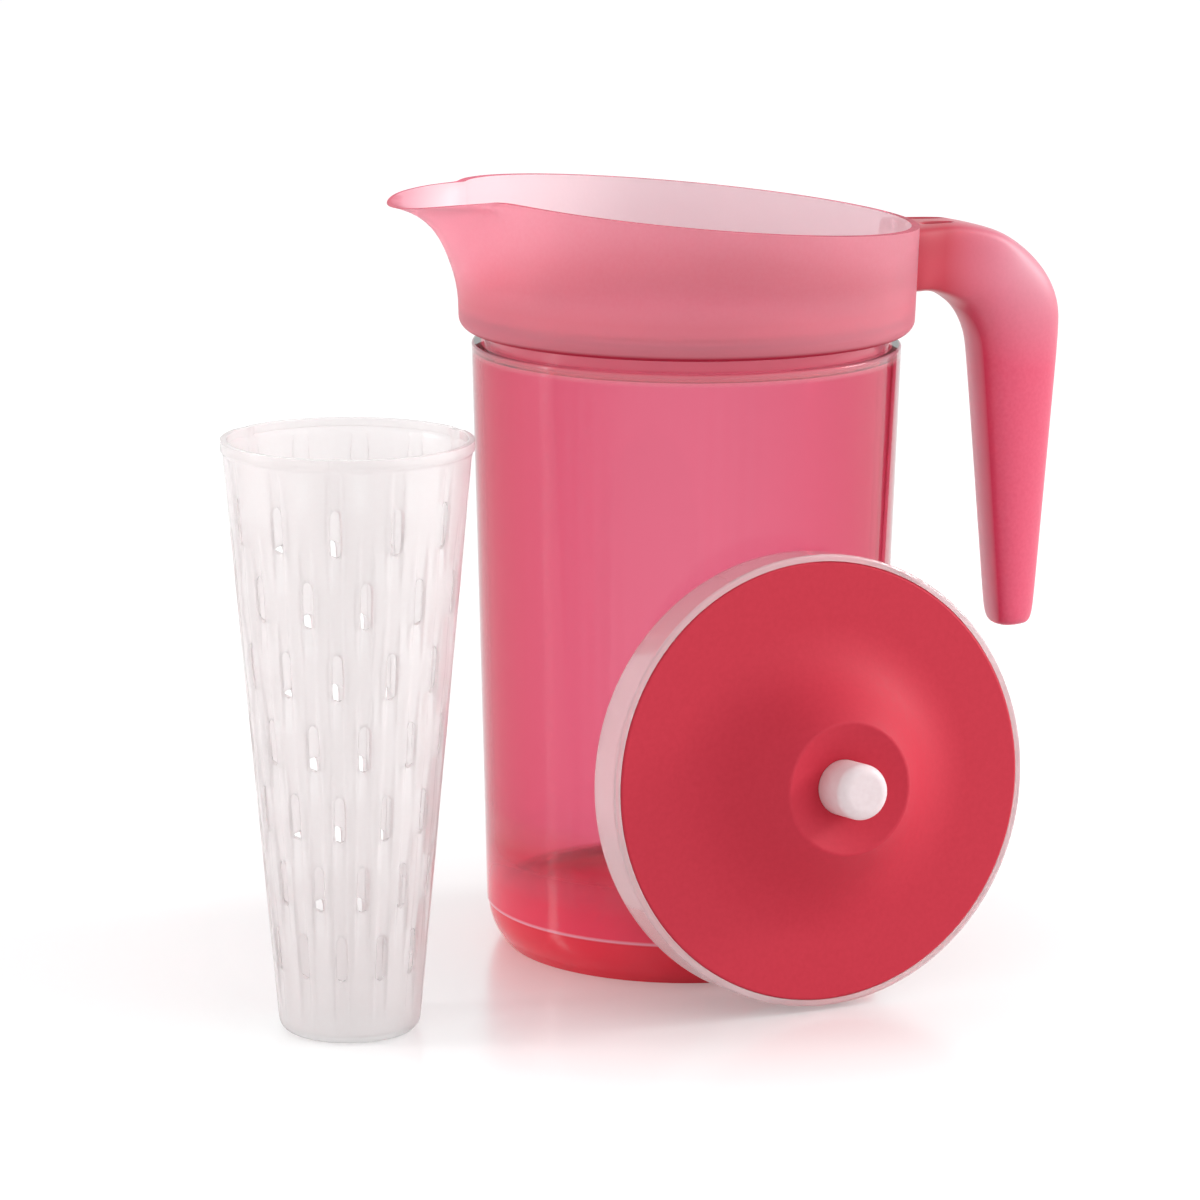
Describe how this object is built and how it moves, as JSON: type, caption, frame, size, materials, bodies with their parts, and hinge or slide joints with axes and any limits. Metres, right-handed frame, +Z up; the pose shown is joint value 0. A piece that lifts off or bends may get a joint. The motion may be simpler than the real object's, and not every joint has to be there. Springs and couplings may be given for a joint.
{
  "type": "fruit infuser pitcher",
  "caption": "Clear pink drinks pitcher with a frosted spout collar and hook handle, a domed push-button lid leaning on it and a slotted infuser standing beside it.",
  "frame": {"origin": "middle of the layout's box, on the plane that the tumbler, lid and infuser stand on", "axes": "+Z up, parallel to the tumbler's axis, +X towards the handle and -X towards the spout"},
  "size_m": [0.2816, 0.1835, 0.2348],
  "materials": {
    "clear_pink": "clear gloss",
    "frosted_pink": "frosted",
    "satin_red": "satin",
    "seal_silicone": "translucent",
    "gasket_silicone": "satin",
    "white_plastic": "satin",
    "frosted_white": "frosted"
  },
  "bodies": {
    "pitcher": {"pitcher_body": "clear_pink", "neck_gasket": "gasket_silicone", "spout_collar": "frosted_pink", "handle": "frosted_pink"},
    "lid": {"lid_cover": "satin_red", "lid_seal": "seal_silicone", "infuser_carrier": "white_plastic"},
    "button": {"push_button": "white_plastic", "button_clip": "white_plastic"},
    "infuser": {"infuser_cup": "frosted_white"}
  },
  "joints": [
    {"name": "lid_lift_off", "type": "slide", "parent": "pitcher", "child": "lid", "axis": [0.1281, -0.9866, 0.1011], "range_m": [0, 0.25]},
    {"name": "button_press", "type": "slide", "parent": "lid", "child": "button", "axis": [-0.1281, 0.9866, -0.1011], "range_m": [0, 0.004], "stiffness_N_per_m": 400},
    {"name": "infuser_lift", "type": "slide", "parent": "pitcher", "child": "infuser", "axis": [0, 0, 1], "range_m": [0, 0.2]}
  ]
}
